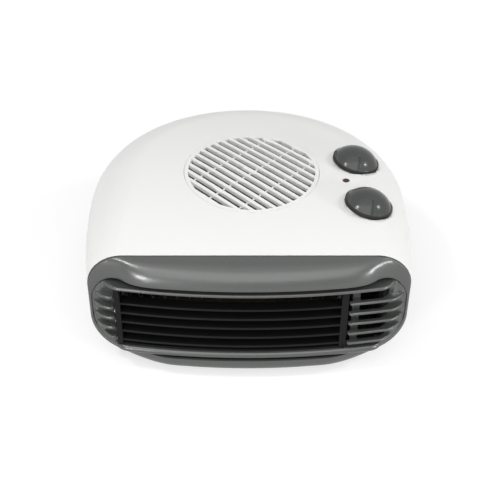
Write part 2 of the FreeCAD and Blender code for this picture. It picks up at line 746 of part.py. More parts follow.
def ring_wire(half, top, bottom, top_round, low_round, share, arch, back):
    """The bezel's outline: share 0 is the flat seam and share 1 the mouth. The arch lifts its lower
    edge towards the sides, and back moves it to the rear."""
    middle = (top + bottom) / 2

    def on_front(x, z):
        low = max((middle - z) / (middle - bottom), 0)
        lift = arch * low * (x / half) ** 2
        return V(x, seam_y.value - share * lip_ahead(x, low) + back, z + lift)

    def curve(points):
        line = Part.BSplineCurve()
        line.interpolate([on_front(x, z) for x, z in points])
        return line.toShape()

    def straight(a, b):
        steps = [i / (EDGE_POINTS - 1) for i in range(EDGE_POINTS)]
        return curve([(a[0] + (b[0] - a[0]) * t, a[1] + (b[1] - a[1]) * t) for t in steps])

    def corner(x, z, radius, start):
        turns = [math.radians(start - 90 * i / (CORNER_POINTS - 1)) for i in range(CORNER_POINTS)]
        return curve([(x + radius * math.cos(t), z + radius * math.sin(t)) for t in turns])

    upper, lower = top - top_round, bottom + low_round
    flat_top, flat_low = half - top_round, half - low_round
    return Part.Wire([
        straight((-flat_top, top), (flat_top, top)),
        corner(flat_top, upper, top_round, 90),
        straight((half, upper), (half, lower)),
        corner(flat_low, lower, low_round, 0),
        straight((flat_low, bottom), (-flat_low, bottom)),
        corner(-flat_low, lower, low_round, -90),
        straight((-half, lower), (-half, upper)),
        corner(-flat_top, upper, top_round, -180),
    ])


def drawn(share, power):
    """How far a section is drawn in from the seam to the mouth."""
    return 1 - (1 - share ** power) ** (1 / power)


def bezel_section(angle, wall):
    """The bezel's outline part of the way from its seam to its mouth, set in by a wall."""
    share = math.sin(math.radians(angle))
    inset = wall * math.cos(math.radians(angle))
    high = drawn(share, TOP_POWER)
    low = drawn(share, LOW_POWER)
    rows = (
        (front_half, lip_half, high, -inset),
        (seam_top, lip_top, high, -inset),
        (bezel_bottom, lip_bottom, low, inset),
        (s.shoulder_front, s.lip_top_round, high, -inset),
        (s.bezel_low_round, s.lip_low_round, low, -inset),
    )
    sizes = [seam.value + (mouth.value - seam.value) * part + more for seam, mouth, part, more in rows]
    return ring_wire(*sizes, share, s.low_arch.value * share * (1 - low), wall * share)


def flat_outline(half, top, bottom, top_round, low_round, y):
    """The same outline in a flat plane: straight sides and round corners."""

    def corner(x, z, radius, start):
        turns = [math.radians(start - 45 * step) for step in range(3)]
        points = [V(x + radius * math.cos(t), y, z + radius * math.sin(t)) for t in turns]
        return Part.Arc(*points).toShape()

    upper, lower = top - top_round, bottom + low_round
    right_top, right_low = half - top_round, half - low_round
    corners = [corner(right_top, upper, top_round, 90), corner(right_low, lower, low_round, 0),
               corner(-right_low, lower, low_round, -90), corner(-right_top, upper, top_round, -180)]
    edges = []
    for index, edge in enumerate(corners):
        following = corners[(index + 1) % len(corners)]
        edges += [edge, Part.makeLine(edge.Vertexes[-1].Point, following.Vertexes[0].Point)]
    return Part.Wire(edges)


def seam_outline(inset, y):
    """The bezel's outline at its seam, drawn in by an inset."""
    return flat_outline(front_half.value - inset, seam_top.value - inset, bezel_bottom.value + inset,
                        s.shoulder_front.value - inset, s.bezel_low_round.value - inset, y)


def mouth_prism(inset):
    """The bezel's mouth, drawn in all round, from the seam out through the bezel's front."""
    wire = flat_outline(lip_half.value - inset, lip_top.value - inset, lip_bottom.value + inset,
                        s.lip_top_round.value - inset, s.lip_low_round.value - inset, seam_y.value)
    return Part.Face(wire).extrude(BACK * -2 * s.bezel_bulge.value)


def mouth_half(z):
    """Half the width of the bezel's mouth at a height."""
    top_round, low_round = s.lip_top_round.value, s.lip_low_round.value
    above = z - lip_top.value + top_round
    below = lip_bottom.value + low_round - z
    for past, radius in ((above, top_round), (below, low_round)):
        if past > 0:
            return lip_half.value - radius + math.sqrt(radius * radius - past * past)
    return lip_half.value


def bowed(profile, left, right):
    """Sweep a profile, drawn in the middle plane, along the bow, and end it at two sides."""
    centre = V(0, bow_y.value, 0)
    reach = max(abs(left), abs(right)) + s.vane_depth.value
    turn = math.degrees(math.asin(reach / s.bow_radius.value))
    start = profile.copy()
    start.rotate(centre, UP, -turn)
    sweep = start.revolve(centre, UP, 2 * turn)
    return sweep.common(Part.makeBox(right - left, FAR, FAR, V(left, -FAR, 0)))


def bowed_vane(profile, half):
    """Sweep a profile along the bow, and round both of its ends back to the seam."""
    centre = V(0, bow_y.value, 0)
    across = half - vane_round.value
    reach = s.bow_radius.value - vane_round.value
    turn = math.degrees(math.asin(across / reach))
    start = profile.copy()
    start.rotate(centre, UP, -turn)
    middle = start.revolve(centre, UP, 2 * turn)
    ends = []
    for sign in (-1, 1):
        hinge = V(sign * across, bow_y.value - math.sqrt(reach * reach - across * across), 0)
        end = profile.copy()
        end.rotate(centre, UP, sign * turn)
        ends.append(end.revolve(hinge, UP, sign * (90 - turn)))
    return middle.fuse(ends)


def bar_profile(low, high, setback, bar_depth):
    """Square-edged profile behind the bow by a setback."""
    front = front_y.value + setback
    back = front + bar_depth
    corners = [V(0, front, low), V(0, back, low), V(0, back, high), V(0, front, high)]
    return Part.Face(Part.makePolygon(corners + corners[:1]))


def vane_profile(low, high, setback, vane_depth):
    """Profile with a half-round nose, behind the bow by a setback."""
    front = front_y.value + setback
    nose = (high - low) / 2
    back = front + vane_depth
    corners = [V(0, front + nose, high), V(0, back, high), V(0, back, low), V(0, front + nose, low)]
    edges = [Part.makeLine(a, b) for a, b in zip(corners, corners[1:])]
    edges.append(Part.Arc(corners[-1], V(0, front, (low + high) / 2), corners[0]).toShape())
    return Part.Face(Part.Wire(edges))


def rows_between(highest, lowest):
    """Heights of the rows, evenly spaced from the highest down to the lowest."""
    count = round(s.row_count.value)
    pitch = (highest - lowest).value / (count - 1)
    return [highest.value - pitch * index for index in range(count)]


def vane_edge(x):
    """Where the vanes' front edges are, from front to back."""
    return seam_y.value - bow_ahead(x) + s.vane_setback.value


def side_field(inner, sign):
    """Plan of the side vanes on one side, with their free front corner rounded, drawn up as a prism."""
    corner = s.vane_corner.value
    front = vane_edge(inner + corner)
    slant = corner * (1 - math.sqrt(0.5))
    arc = [(inner, front + corner), (inner + slant, front + slant), (inner + corner, front)]
    arc = [V(sign * x, y, 0) for x, y in arc]
    outer = [V(sign * FAR, front, 0), V(sign * FAR, seam_y.value, 0), V(sign * inner, seam_y.value, 0)]
    edges = [Part.Arc(*arc).toShape()]
    corners = [arc[-1]] + outer + [arc[0]]
    edges += [Part.makeLine(a, b) for a, b in zip(corners, corners[1:])]
    return Part.Face(Part.Wire(edges)).extrude(UP * FAR)


def behind_bars(plan):
    """Prism from the sill to the top vane that starts a bar's depth behind the vanes' front edge."""
    bar, rear, low = s.vane_bar.value, seam_y.value, sill_top.value
    front = [V(x, vane_edge(x) + bar + step, low) for x, step in plan]
    corners = front + [V(front[-1].x, rear, low), V(front[0].x, rear, low)]
    return Part.Face(Part.makePolygon(corners + corners[:1])).extrude(UP * (top_vane_low.value - low))


def vane_slot(inner):
    """The slot through the right-hand vanes, behind their front bars, with a slanted outer end."""
    outer = (front_half - s.slot_end).value
    turn = outer - s.slot_slant.value
    return behind_bars([(inner, 0), (turn, 0), (outer, s.slot_step.value)])


def bezel_ring():
    """The bezel's wall, lofted outside and inside from the seam to the mouth."""
    outer = [bezel_section(angle, 0.0) for angle in SECTION_ANGLES]
    inner = [bezel_section(angle, s.bezel_wall.value) for angle in SECTION_ANGLES]
    faces = Part.makeLoft(outer, False, False).Faces
    faces += Part.makeLoft(inner, False, False).Faces
    faces += Part.makeLoft([outer[-1], inner[-1]], False, True).Faces
    faces.append(Part.Face([outer[0], inner[0]], "Part::FaceMakerBullseye"))
    shell = Part.Shell(faces)
    shell.sewShape()
    ring = Part.Solid(shell)
    if ring.Volume < 0:
        ring.reverse()
    return ring


def front_bezel():
    collar_out = (s.rim_inset + s.tub_wall + s.fit_gap).value
    collar_in = collar_out + s.bezel_wall.value
    rear = seam_y.value
    collar = Part.Face([seam_outline(collar_out, rear), seam_outline(collar_in, rear)],
                       "Part::FaceMakerBullseye")
    collar = collar.extrude(BACK * s.flange_depth.value)
    web = Part.Face([seam_outline(s.bezel_wall.value / 2, rear), seam_outline(collar_in, rear)],
                    "Part::FaceMakerBullseye")
    web = web.extrude(BACK * -s.web_thick.value)
    setback, vane_depth, half_vane = s.vane_setback.value, s.vane_depth.value, s.vane_thick.value / 2
    top_vane_high = (top_vane_low + s.top_vane_thick).value
    top_profile = vane_profile(top_vane_low.value, top_vane_high, setback, vane_depth)
    sill_profile = vane_profile(sill_low.value, sill_top.value, setback, s.sill_depth.value)
    left_end = (window_left + s.fit_gap).value
    right_end = (window_right + s.fit_gap).value

    def side_vanes(inner, sign, lift):
        """The side vanes on one side, raised by a lift."""
        field = side_field(inner, sign)
        vanes = []
        for row in rows_between(top_vane - s.vane_drop, sill_top + s.vane_rest):
            height = row + lift
            profile = vane_profile(height - half_vane, height + half_vane, setback, vane_depth)
            vanes.append(bowed_vane(profile, mouth_half(height)).common(field))
        return vanes

    behind = s.post_setback.value
    backing = bar_profile(sill_low.value + half_vane, top_vane.value, setback + behind, vane_depth - behind)
    edge = lip_half.value
    post = right_end + s.post_shift.value
    openings = [behind_bars([(right_end, 0), (post, 0)]), vane_slot(post + s.post_width.value)]
    right = [vane.cut(openings) for vane in side_vanes(right_end, 1, 0) + [bowed(backing, post, edge)]]
    left = side_vanes(left_end, -1, s.left_lift.value) + [bowed(backing, -edge, -left_end)]
    across = [bowed_vane(top_profile, mouth_half(top_vane.value)),
              bowed_vane(sill_profile, mouth_half(sill_top.value))]
    mouth = mouth_prism(s.fit_gap.value)
    vanes = [vane.common(mouth) for vane in across + right + left]
    keep(feature(bezel_ring().fuse([web, collar] + vanes).removeSplitter()), "front_bezel")


def outlet_grille():
    """Black insert in the air window: bowed slats between two end bars and two rails."""
    left, right = -window_left.value, window_right.value
    setback, insert_depth = s.insert_setback.value, s.insert_depth.value
    low = (sill_top + s.fit_gap).value
    high = (top_vane_low - s.fit_gap).value
    half_slat = s.slat_thick.value / 2
    rail = s.rail.value
    frame = bar_profile(low, high, setback, insert_depth)
    bars = [bowed(frame, left, left + s.left_bar.value), bowed(frame, right - s.right_bar.value, right)]
    inner_left = left + s.left_bar.value / 2
    inner_right = right - s.right_bar.value / 2
    slats = []
    for height in rows_between(top_vane - s.slat_drop, sill_top + s.slat_rest):
        slat = vane_profile(height - half_slat, height + half_slat, setback, insert_depth)
        slats.append(bowed(slat, inner_left, inner_right))
    low_rail = bar_profile(low, low + rail, setback + half_slat, insert_depth - rail)
    high_rail = bar_profile(high - rail, high, setback + insert_depth / 2, insert_depth / 2)
    slats += [bowed(profile, inner_left, inner_right) for profile in (low_rail, high_rail)]
    keep(feature(bars[0].fuse(bars[1:] + slats).removeSplitter()), "outlet_grille")


# Controls

def knob(control, name):
    """Domed knob: turned form, two side flats, a socket for the spindle and a pointer groove."""
    base = s.knob_lift
    skirt = base + s.skirt_height
    hollow = base + s.hollow_depth
    crown = skirt + s.dome_rise
    ball = (s.dome_radius * s.dome_radius + s.dome_rise * s.dome_rise) / (2 * s.dome_rise)
    owner = turned(name + "_body", [
        (s.hollow_radius, base),
        (s.knob_radius, base),
        (s.knob_radius, skirt - s.skirt_chamfer),
        (s.knob_radius - s.skirt_chamfer, skirt),
        (s.dome_radius, skirt, ball, -1),
        (0, crown),
        (0, hollow),
        (s.hollow_radius, hollow),
    ])
    flats = sketch_on(owner, "XY_Plane", skirt)
    reach = s.knob_radius + s.knob_radius
    for sign in (1, -1):
        outline(flats, [(s.grip_half * sign, -reach), (reach * sign, -reach),
                        (reach * sign, reach), (s.grip_half * sign, reach)])
    pocket(owner, flats, s.dome_rise * 2, upward=True)
    socket = sketch_on(owner, "XY_Plane", hollow)
    bore = s.spindle_radius + s.running_gap
    flat = s.spindle_flat + s.running_gap
    half = root(bore * bore - flat * flat)
    outline(socket, [(flat, -half), (flat, half, bore, -1), (-bore, 0, bore, -1)])
    pocket(owner, socket, s.spindle_grip + s.fit_gap, upward=True)
    doc.recompute()
    shell = doc.addObject("Part::Sphere", "GrooveFloor")
    bind(shell, Radius=ball - s.pointer_depth)
    place(shell, 0, 0, crown - ball)
    groove = cut(box(s.pointer_width, s.knob_radius, crown * 2,
                     0, -s.pointer_start - s.knob_radius / 2, skirt), shell)
    keep(control.put(cut(owner, groove)), name)


def spindle(control, low, name):
    """Control spindle with a flat that keys it to the knob."""
    owner = body(name + "_body")
    circle_sketch = sketch_on(owner, "XY_Plane", low)
    circle(circle_sketch, s.spindle_radius)
    top = s.knob_lift + s.hollow_depth + s.spindle_grip
    pad(owner, circle_sketch, top - low)
    flat_sketch = sketch_on(owner, "XY_Plane", s.bush_height + s.fit_gap)
    reach = s.spindle_radius * 2
    outline(flat_sketch, [(s.spindle_flat, -reach), (reach, -reach), (reach, reach), (s.spindle_flat, reach)])
    pocket(owner, flat_sketch, top, upward=True)
    keep(control.put(owner), name)


def block(name, length, width, height, x, y, z):
    """A body that is one padded rectangle, its middle at x and y and its underside at z."""
    owner = body(name + "_body")
    sketch = sketch_on(owner, "XY_Plane", as_size(z))
    x, y = as_size(x), as_size(y)
    outline(sketch, [(x - length / 2, y - width / 2), (x + length / 2, y - width / 2),
                     (x + length / 2, y + width / 2), (x - length / 2, y + width / 2)])
    pad(owner, sketch, height)
    return owner


def selector_switch():
    """Rotary switch: body and threaded bush, with four spade terminals below."""
    top = -s.seat_thick
    low = top - s.switch_height
    case = box(s.switch_width, s.switch_width, s.switch_height, 0, 0, low)
    bush = cylinder(s.bush_radius, s.bush_height - top, 0, 0, top)
    tabs = []
    for column in (-1, 1):
        for line in (-1, 1):
            tabs.append(box(s.tab_width, s.tab_thick, s.tab_length, s.tab_spread * column,
                            s.tab_spread * line, low - s.tab_length))
    bore_low = low + s.switch_floor
    bore = cylinder(s.spindle_radius + s.running_gap, s.bush_height - bore_low, 0, 0, bore_low)
    keep(selector.put(cut(fuse(case, bush, *tabs), bore)), "selector_switch")
    spindle(selector, bore_low + s.fit_gap, "selector_spindle")


def thermostat_parts():
    """Steel frame with a bush, ceramic stack, bimetal blade and fixed contact."""
    top = -s.seat_thick
    under = top - s.stat_plate
    plate = box(s.stat_length, s.stat_width, s.stat_plate, 0, 0, under)
    bush = cylinder(s.bush_radius, s.bush_height - top, 0, 0, top)
    bore = cylinder(s.spindle_radius + s.running_gap, s.bush_height - under, 0, 0, under)
    keep(thermostat.put(cut(fuse(plate, bush), bore)), "thermostat_frame")
    stack_x = -(s.stat_length - s.stack_width) / 2
    stack = block("thermostat_stack", s.stack_width, s.stack_width, s.stack_height,
                  stack_x, 0, under - s.stack_height)
    keep(thermostat.put(stack), "thermostat_stack")
    blade_x = stack_x + s.stack_width / 2 + s.blade_reach / 2
    blade_z = under - s.blade_drop
    leaf = block("thermostat_blade", s.blade_reach, s.blade_width, s.blade_thick, blade_x, 0, blade_z)
    keep(thermostat.put(leaf), "thermostat_blade")
    contact_z = blade_z - s.contact_drop
    contact = block("thermostat_contact", s.blade_reach, s.blade_width, s.blade_thick, blade_x, 0, contact_z)
    keep(thermostat.put(contact), "thermostat_contact")
    spindle(thermostat, blade_z + s.blade_thick + s.fit_gap, "thermostat_spindle")


def control_nuts():
    """The two hexagon nuts that hold the controls to their seats."""
    nuts = []
    for control in (selector, thermostat):
        prism = doc.addObject("Part::Prism", "Hexagon")
        prism.Polygon = 6
        bind(prism, Circumradius=s.nut_flats / root(as_size(3)), Height=s.nut_thick)
        nuts.append(control.put(cut(prism, cylinder(s.bush_radius + s.running_gap, s.nut_thick))))
    keep(fuse(*nuts), "control_nuts")


def indicator():
    """Red lens in the roof and the neon lamp under it."""
    collar = s.lens_radius + s.lens_collar
    lens = turned("indicator_lens_body", [
        (0, -s.lens_collar), (collar, -s.lens_collar), (collar, 0), (s.lens_radius, 0),
        (s.lens_radius, s.wall), (0, s.wall + s.lens_proud)])
    keep(place(lens, lens_x, lens_y, lens_under - s.fit_gap), "indicator_lens")
    lamp_top = lens_under - s.fit_gap - s.lens_collar - s.fit_gap
    lamp = cylinder(s.lamp_radius, s.lamp_length, lens_x, lens_y, lamp_top - s.lamp_length)
    keep(lamp, "indicator_lamp")


# Motor and fan, all stacked on the tub's motor posts

post_top = tub_floor + s.motor_post
stator_low = post_top + s.bracket_thick + s.bracket_step
stator_top = stator_low + s.stator_height
upper_bracket = stator_top + s.bracket_step
wheel_low = upper_bracket + s.bracket_thick + s.wheel_lift
wheel_top = wheel_low + s.wheel_height
cover_low = wheel_top + s.scroll_head


def bracket(plate_low, feet_low, name):
    """Bracket across the motor, with a bearing seat and two feet that the screws pass through."""
    span = s.motor_bolt * 2
    parts = [box(span, s.bracket_width, s.bracket_thick, s.fan_x, fan_y, plate_low)]
    holes = [cylinder(s.bearing_radius + s.running_gap, s.bracket_thick, s.fan_x, fan_y, plate_low)]
    high = s.bracket_thick + s.bracket_step
    for sign in (-1, 1):
        x = s.fan_x + s.motor_bolt * sign
        parts.append(cylinder(s.bracket_foot, high, x, fan_y, feet_low))
        holes.append(cylinder(s.motor_screw_radius + s.running_gap, high, x, fan_y, feet_low))
    keep(cut(fuse(*parts), *holes), name)


def motor():
    bracket(post_top, post_top, "motor_bracket_lower")
    bracket(upper_bracket, stator_top, "motor_bracket_upper")
    stator = body("motor_stator_body")
    plan = sketch_on(stator, "XY_Plane", stator_low)
    outline(plan, [(-s.stator_half, -s.stator_front), (s.stator_half, -s.stator_front),
                   (s.stator_half, s.stator_back), (-s.stator_half, s.stator_back)])
    circle(plan, s.rotor_radius + s.air_gap)
    slot_back = s.stator_back - s.yoke
    outline(plan, [(-s.slot_half, s.slot_front), (s.slot_half, s.slot_front),
                   (s.slot_half, slot_back), (-s.slot_half, slot_back)])
    for sign in (-1, 1):
        circle(plan, s.motor_screw_radius + s.running_gap, s.motor_bolt * sign, 0)
    pad(stator, plan, s.stator_height)
    keep(place(stator, s.fan_x, fan_y, 0), "motor_stator")
    coil_long = (s.slot_half - s.fit_gap) * 2
    yoke_y = fan_y + s.stator_back - s.yoke / 2
    round_yoke = s.fit_gap * 2
    coil_high = s.stator_height + round_yoke + s.coil_wrap
    winding = box(coil_long, s.yoke + round_yoke + s.coil_wrap * 2, coil_high,
                  s.fan_x, yoke_y, stator_low - (coil_high - s.stator_height) / 2)
    tunnel = box(coil_long, s.yoke + round_yoke, s.stator_height + round_yoke,
                 s.fan_x, yoke_y, stator_low - s.fit_gap)
    keep(cut(winding, tunnel), "motor_coil")
    bore = s.shaft_radius + s.running_gap
    for plate_low, name in ((post_top, "bearing_lower"), (upper_bracket, "bearing_upper")):
        middle = plate_low + s.bracket_thick / 2
        bush = turned(name + "_body", [
            (bore, -s.bearing_height / 2), (s.bearing_radius, -s.bearing_height / 2),
            (s.bearing_radius, s.bearing_height / 2), (bore, s.bearing_height / 2)])
        keep(place(bush, s.fan_x, fan_y, middle), name)
    rotor_long = s.stator_height + s.bracket_thick
    rotor_low = stator_low - s.bracket_thick / 2
    rotor = cut(cylinder(s.rotor_radius, rotor_long, s.fan_x, fan_y, rotor_low),
                cylinder(bore, rotor_long, s.fan_x, fan_y, rotor_low))
    keep(rotor, "motor_rotor")
    shaft_low = tub_floor + s.fit_gap
    shaft = cylinder(s.shaft_radius, wheel_low + s.hub_height - shaft_low, s.fan_x, fan_y, shaft_low)
    keep(shaft, "motor_shaft")
    screws = []
    head_low = upper_bracket + s.bracket_thick
    tip = post_top - s.motor_screw_bite
    for sign in (-1, 1):
        x = s.fan_x + s.motor_bolt * sign
        screws.append(fuse(cylinder(s.motor_screw_radius, head_low - tip, x, fan_y, tip),
                           cylinder(s.screw_head, s.head_height, x, fan_y, head_low)))
    keep(fuse(*screws), "motor_screws")


def impeller():
    """Fan wheel: plate and hub in one, curved blades, and a ring over the blades."""
    bore = s.shaft_radius + s.running_gap
    owner = turned("impeller_body", [
        (bore, wheel_low), (s.wheel_radius, wheel_low), (s.wheel_radius, wheel_low + s.wheel_plate),
        (s.hub_radius, wheel_low + s.wheel_plate), (s.hub_radius, wheel_low + s.hub_height),
        (bore, wheel_low + s.hub_height)])
    vane = sketch_on(owner, "XY_Plane", wheel_low + s.wheel_plate / 2)
    lead = s.wheel_blade_sweep + s.wheel_blade_thick
    tip = root(s.wheel_radius * s.wheel_radius - lead * lead) - s.wheel_plate / 4
    foot = tip - s.wheel_blade_length
    outline(vane, [(foot, 0, s.wheel_blade_arc, -1), (tip, s.wheel_blade_sweep),
                   (tip, lead, s.wheel_blade_arc, 1), (foot, s.wheel_blade_thick)])
    blade_pad = pad(owner, vane, s.wheel_height - s.wheel_plate)
    pattern = owner.newObject("PartDesign::PolarPattern", "Blades")
    pattern.Originals = [blade_pad]
    pattern.Axis = (vane, ["N_Axis"])
    pattern.Angle = 360
    pattern.setExpression("Occurrences", s.wheel_blades.formula)
    owner.Tip = pattern
    ring = sketch_on(owner, "XY_Plane", wheel_top - s.wheel_plate)
    circle(ring, s.wheel_radius)
    circle(ring, s.wheel_radius - s.wheel_blade_length / 2)
    owner.Tip = pad(owner, ring, s.wheel_plate)
    keep(place(owner, s.fan_x, fan_y, 0), "impeller")


mouth_y = seam_y + s.scroll_mouth


def blower_scroll():
    """Spiral wall round the wheel, its duct to the front, and a cover with the air inlet."""
    growth = s.scroll_growth.value
    x, y = s.fan_x.value, fan_y.value
    near = s.wheel_radius.value + s.scroll_gap.value
    low, high = s.base_height.value, cover_low.value

    def point(centre, radius, angle):
        turn = math.radians(angle)
        return V(centre.x + radius * math.cos(turn), centre.y + radius * math.sin(turn), low)

    def arc(centre, radius, start, end):
        return Part.Arc(point(centre, radius, start), point(centre, radius, (start + end) / 2),
                        point(centre, radius, end)).toShape()

    tongue = -s.scroll_tongue.value
    middles = [V(x, y, low), V(x - growth, y, low), V(x - growth, y - growth, low)]
    front = mouth_y.value
    left, right = scroll_left.value, s.duct_right.value
    turns = [arc(middles[2], near + 2 * growth, 180, 90), arc(middles[1], near + growth, 90, 0),
             arc(middles[0], near, 0, tongue)]
    throat = (s.heater_inset + s.heater_depth + s.duct_past).value
    corners = [point(middles[0], near, tongue), V(right, front + throat, low), V(right, front, low),
               V(left, front, low), point(middles[2], near + 2 * growth, 180)]
    lines = [Part.makeLine(a, b) for a, b in zip(corners, corners[1:])]
    air = Part.Face(Part.Wire(turns + lines))
    around = air.makeOffset2D(s.scroll_wall.value)
    behind_mouth = Part.makeBox(FAR, FAR, FAR, V(-FAR / 2, front, 0))
    rise = UP * (high - low)
    walls = around.extrude(rise).cut(air.extrude(rise))
    lid = around.copy()
    lid.translate(rise)
    cover = lid.extrude(UP * s.scroll_wall.value)
    cover = cover.cut(upright(s.eye_radius.value, low, FAR, x, y))
    cavity = tub_form((s.tub_wall + s.fit_gap).value, seam_y.value, FAR / 2)
    shape = walls.fuse(cover).common(behind_mouth).common(cavity).removeSplitter()
    keep(feature(shape), "blower_scroll")


# Heater in the duct

heater_left = scroll_left + s.fit_gap
heater_right = s.duct_right - s.fit_gap
heater_x = (heater_left + heater_right) / 2
heater_long = heater_right - heater_left
heater_y = mouth_y + s.heater_inset + s.heater_depth / 2
top_shelf = s.shelf_low + s.shelf_pitch * s.ribbon_count + s.mica


def heater():
    """Mica end boards and shelves, with a zigzag resistance ribbon between two shelves."""
    tall = cover_low - s.fit_gap - s.heater_bottom
    boards = [box(s.mica, s.heater_depth, tall, heater_left + s.mica / 2, heater_y, s.heater_bottom),
              box(s.mica, s.heater_depth, tall, heater_right - s.mica / 2, heater_y, s.heater_bottom)]
    count = round(s.ribbon_count.value)
    for index in range(count + 1):
        boards.append(box(heater_long, s.heater_depth, s.mica, heater_x, heater_y,
                          s.shelf_low + s.shelf_pitch * index))
    keep(fuse(*boards), "heater_frame")
    waves = 2 * round(s.ribbon_waves.value)
    start = (heater_left + s.mica + s.fit_gap).value
    stop = (heater_right - s.mica - s.fit_gap).value
    run = (stop - start) / waves
    clear = (s.shelf_pitch - s.mica - s.fit_gap * 2).value
    upward = UP * (s.ribbon_thick.value * math.hypot(run, clear) / run)
    for index in range(count):
        low = (s.shelf_low + s.shelf_pitch * index + s.mica + s.fit_gap).value
        y = (heater_y - s.ribbon_width / 2).value
        line = [V(start + run * step, y, low + (clear - upward.z) * (step % 2)) for step in range(waves + 1)]
        upper_line = [corner + upward for corner in reversed(line)]
        profile = Part.Face(Part.makePolygon(line + upper_line + line[:1]))
        keep(feature(profile.extrude(BACK * s.ribbon_width.value)), f"heater_ribbon_{index + 1}")
    keep(cylinder(s.cutout_radius, s.cutout_height, s.cutout_x, heater_y, top_shelf), "thermal_cutout")
    fuse_tube = turned("thermal_fuse_body", [
        (0, 0), (s.fuse_radius, 0), (s.fuse_radius, s.fuse_length), (0, s.fuse_length)])
    fuse_tube.Placement = FreeCAD.Placement(V(), FreeCAD.Rotation(BACK, 90))
    keep(place(fuse_tube, s.fuse_x, heater_y, top_shelf + s.fuse_radius), "thermal_fuse")


# Feet, screws and the cord gland

def feet():
    for name, (x, y) in foot_places.items():
        foot = turned(name + "_body", [
            (0, 0), (s.foot_radius - s.foot_taper, 0), (s.foot_radius, s.foot_taper),
            (s.foot_radius, s.base_height), (s.stem_radius, s.base_height),
            (s.stem_radius, tub_floor), (0, tub_floor)])
        keep(place(foot, x, y, 0), name)


def housing_screws():
    screws = []
    seat = s.split_height - s.post_cap
    for x, y in screw_places:
        screws.append(fuse(cylinder(s.screw_head, s.head_height, x, y, seat - s.head_height),
                           cylinder(s.screw_radius, s.post_cap + s.screw_reach, x, y, seat)))
    keep(fuse(*screws), "housing_screws")


def cord_gland():
    """Bush in the back wall for the mains cord."""
    outside = s.body_radius - s.rim_inset
    inside = -s.tub_wall * 2
    gland = turned("cord_gland_body", [
        (s.gland_bore, inside), (s.gland_radius, inside), (s.gland_radius, 0), (s.gland_flange, 0),
        (s.gland_flange, s.gland_plate), (s.gland_bore, s.gland_plate)])
    gland.Placement = FreeCAD.Placement(V(), FreeCAD.Rotation(RIGHT, -90))
    keep(place(gland, 0, round_y + outside, s.gland_height), "cord_gland")


def build():
    upper_housing()
    inlet_grille()
    lower_housing()
    front_bezel()
    outlet_grille()
    knob(selector, "selector_knob")
    knob(thermostat, "thermostat_knob")
    selector_switch()
    thermostat_parts()
    control_nuts()
    indicator()
    motor()
    impeller()
    blower_scroll()
    heater()
    feet()
    housing_screws()
    cord_gland()
    doc.recompute()


def write():
    """Check every object, then write one file for each sub-part."""
    for item in doc.Objects:
        if "Invalid" in item.State or "Error" in item.State:
            raise RuntimeError(f"{item.Name} ({item.Label}) did not compute")
    os.makedirs("parts", exist_ok=True)
    for piece in PIECES:
        shape = piece.Shape
        if shape.isNull() or not shape.isValid():
            raise RuntimeError(f"{piece.Label} is not a valid solid")
        shape.exportStep(os.path.join("parts", piece.Label + ".step"))
        print(piece.Label, len(shape.Solids), round(shape.Volume))


build()
write()
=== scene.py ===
import json
import math

import bpy
from mathutils import Matrix, Vector


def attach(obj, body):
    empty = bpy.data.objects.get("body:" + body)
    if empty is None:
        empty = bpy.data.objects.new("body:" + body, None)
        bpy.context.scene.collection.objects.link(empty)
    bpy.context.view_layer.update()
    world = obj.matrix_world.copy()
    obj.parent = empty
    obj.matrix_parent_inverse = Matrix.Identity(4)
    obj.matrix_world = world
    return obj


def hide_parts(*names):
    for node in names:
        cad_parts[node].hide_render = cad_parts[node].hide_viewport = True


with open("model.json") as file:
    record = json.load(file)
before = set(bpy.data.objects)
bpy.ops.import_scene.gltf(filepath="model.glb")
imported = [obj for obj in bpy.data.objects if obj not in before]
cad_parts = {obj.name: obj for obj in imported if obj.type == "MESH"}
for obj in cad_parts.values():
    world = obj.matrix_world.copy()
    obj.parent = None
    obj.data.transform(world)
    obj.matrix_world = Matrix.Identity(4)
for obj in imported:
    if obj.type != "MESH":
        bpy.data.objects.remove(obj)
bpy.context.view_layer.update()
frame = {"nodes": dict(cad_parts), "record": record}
nodes = frame["nodes"]
record = frame["record"]
body_of = {node: body for body, members in record["behaviour"]["bodies"].items() for node in members}
slot_of = {part["node"]: part["material_slot"] for part in record["subparts"]}


# Places on the heater, in metres and radians

# The roofs of the hood and the grille lie on one arc, whose axis runs across, far under the floor
ROOF_RADIUS = 0.905
ROOF_TOP = 0.1104
ROOF_AXIS_Y = 0.0197
ROOF_AXIS_Z = ROOF_TOP - ROOF_RADIUS

# Depths under the roof at which painted shade starts on the louvres and is full, standing in for the dark
# gaps between them
LOUVRE_SHADE_START = 0.0030
LOUVRE_SHADE_FULL = 0.0039

# A point on each knob's axis, and the lean of the axis to the right
SELECTOR_POINT = (0.08836, -0.0464, 0.09735)
SELECTOR_LEAN = math.radians(12.0)
THERMOSTAT_POINT = (0.08392, 0.0102, 0.09969)
THERMOSTAT_LEAN = math.radians(11.0)

# Radii at which painted shade starts on a knob's foot and is full, standing in for the shadow in the gap
# round it
KNOB_FOOT_SHADE = (0.0177, 0.0180)

# The upright plane where bezel and hood meet, the stretch before it over which painted shade grows on the
# bezel, and how much of the grey the painted shade hides at the seam, standing in for the shadow line at the
# joint
SEAM_PLANE = -0.1025
SEAM_STRETCH = (SEAM_PLANE - 0.0016, SEAM_PLANE - 0.0004)
SEAM_SHADE = 0.9

ORIGIN = (0.0, 0.0, 0.0)
UPRIGHT = (0.0, 0.0, 0.0)
QUARTER_TURN = math.radians(90.0)


# Small helpers for shader trees

WHOLE = (0.0, 1.0)
# Noise keeps to this middle part of its range, which is spread over a whole effect
NOISE_MIDDLE = (0.3, 0.7)


def fill(tree, socket, value):
    """Set a socket to a number, or link it to an output."""
    if isinstance(value, (int, float)):
        socket.default_value = value
    else:
        tree.links.new(value, socket)


